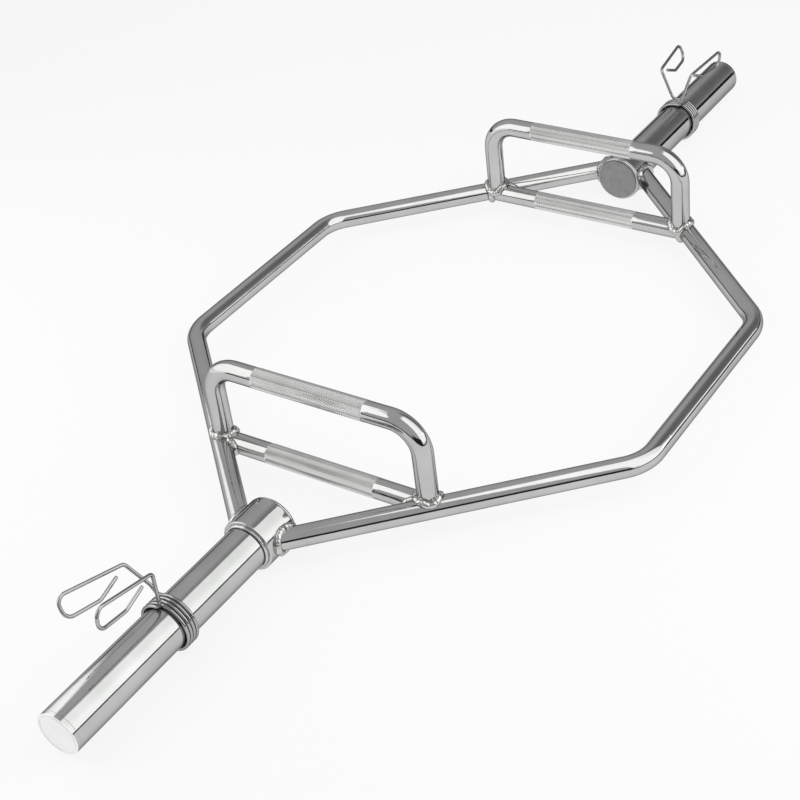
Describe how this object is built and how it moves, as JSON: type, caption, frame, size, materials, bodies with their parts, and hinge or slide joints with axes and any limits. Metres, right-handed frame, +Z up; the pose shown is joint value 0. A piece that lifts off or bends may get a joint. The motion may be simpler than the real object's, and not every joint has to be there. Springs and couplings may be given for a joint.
{
  "type": "hex trap bar",
  "caption": "Chromed hexagonal lifting frame with low and raised knurled handles, plain plate sleeves at both ends and sprung wire collars on them.",
  "frame": {"origin": "on the floor under the middle of the bar", "axes": "+X along the sleeves to the right end, +Y to the rear rail, +Z up"},
  "size_m": [1.488, 0.6486, 0.1472],
  "materials": {
    "bar_chrome": "polished, knurled over the grips",
    "hub_chrome": "polished",
    "sleeve_chrome": "polished",
    "weld_bead": "lumpy weld under plating",
    "end_cap_steel": "satin",
    "spring_wire": "polished wire"
  },
  "bodies": {
    "frame": {"front_rail": "bar_chrome", "rear_rail": "bar_chrome", "left_hub": "hub_chrome", "left_hub_disc": "hub_chrome", "left_hub_disc_weld": "weld_bead", "left_hub_welds": "weld_bead", "left_sleeve": "sleeve_chrome", "left_sleeve_weld": "weld_bead", "left_sleeve_end_cap": "end_cap_steel", "left_low_handle": "bar_chrome", "left_low_handle_welds": "weld_bead", "left_high_handle": "bar_chrome", "left_high_handle_welds": "weld_bead", "right_hub": "hub_chrome", "right_hub_disc": "hub_chrome", "right_hub_disc_weld": "weld_bead", "right_hub_welds": "weld_bead", "right_sleeve": "sleeve_chrome", "right_sleeve_weld": "weld_bead", "right_sleeve_end_cap": "end_cap_steel", "right_low_handle": "bar_chrome", "right_low_handle_welds": "weld_bead", "right_high_handle": "bar_chrome", "right_high_handle_welds": "weld_bead"},
    "left_collar": {"left_collar_coil": "spring_wire"},
    "left_outer_grip": {"left_collar_outer_grip": "spring_wire"},
    "left_inner_grip": {"left_collar_inner_grip": "spring_wire"},
    "right_collar": {"right_collar_coil": "spring_wire"},
    "right_outer_grip": {"right_collar_outer_grip": "spring_wire"},
    "right_inner_grip": {"right_collar_inner_grip": "spring_wire"}
  },
  "joints": [
    {"name": "left_collar_slide", "type": "slide", "parent": "frame", "child": "left_collar", "axis": [-1, 0, 0], "range_m": [-0.112, 0.182]},
    {"name": "left_outer_squeeze", "type": "hinge", "parent": "left_collar", "child": "left_outer_grip", "pos_m": [-0.5771, 0, 0.031], "axis": [-1, 0, 0], "range_deg": [0, 15], "stiffness_Nm_per_rad": 8, "deforming": ["left_collar_coil"]},
    {"name": "left_inner_squeeze", "type": "hinge", "parent": "left_collar", "child": "left_inner_grip", "pos_m": [-0.5771, 0, 0.031], "axis": [-1, 0, 0], "range_deg": [-15, 0], "stiffness_Nm_per_rad": 8},
    {"name": "right_collar_slide", "type": "slide", "parent": "frame", "child": "right_collar", "axis": [1, 0, 0], "range_m": [-0.129, 0.165]},
    {"name": "right_outer_squeeze", "type": "hinge", "parent": "right_collar", "child": "right_outer_grip", "pos_m": [0.5941, 0, 0.031], "axis": [1, 0, 0], "range_deg": [0, 15], "stiffness_Nm_per_rad": 8, "deforming": ["right_collar_coil"]},
    {"name": "right_inner_squeeze", "type": "hinge", "parent": "right_collar", "child": "right_inner_grip", "pos_m": [0.5941, 0, 0.031], "axis": [1, 0, 0], "range_deg": [-15, 0], "stiffness_Nm_per_rad": 8}
  ],
  "couplings": [
    {"joint": "left_inner_squeeze", "follows": "left_outer_squeeze", "ratio": -1},
    {"joint": "right_inner_squeeze", "follows": "right_outer_squeeze", "ratio": -1}
  ]
}
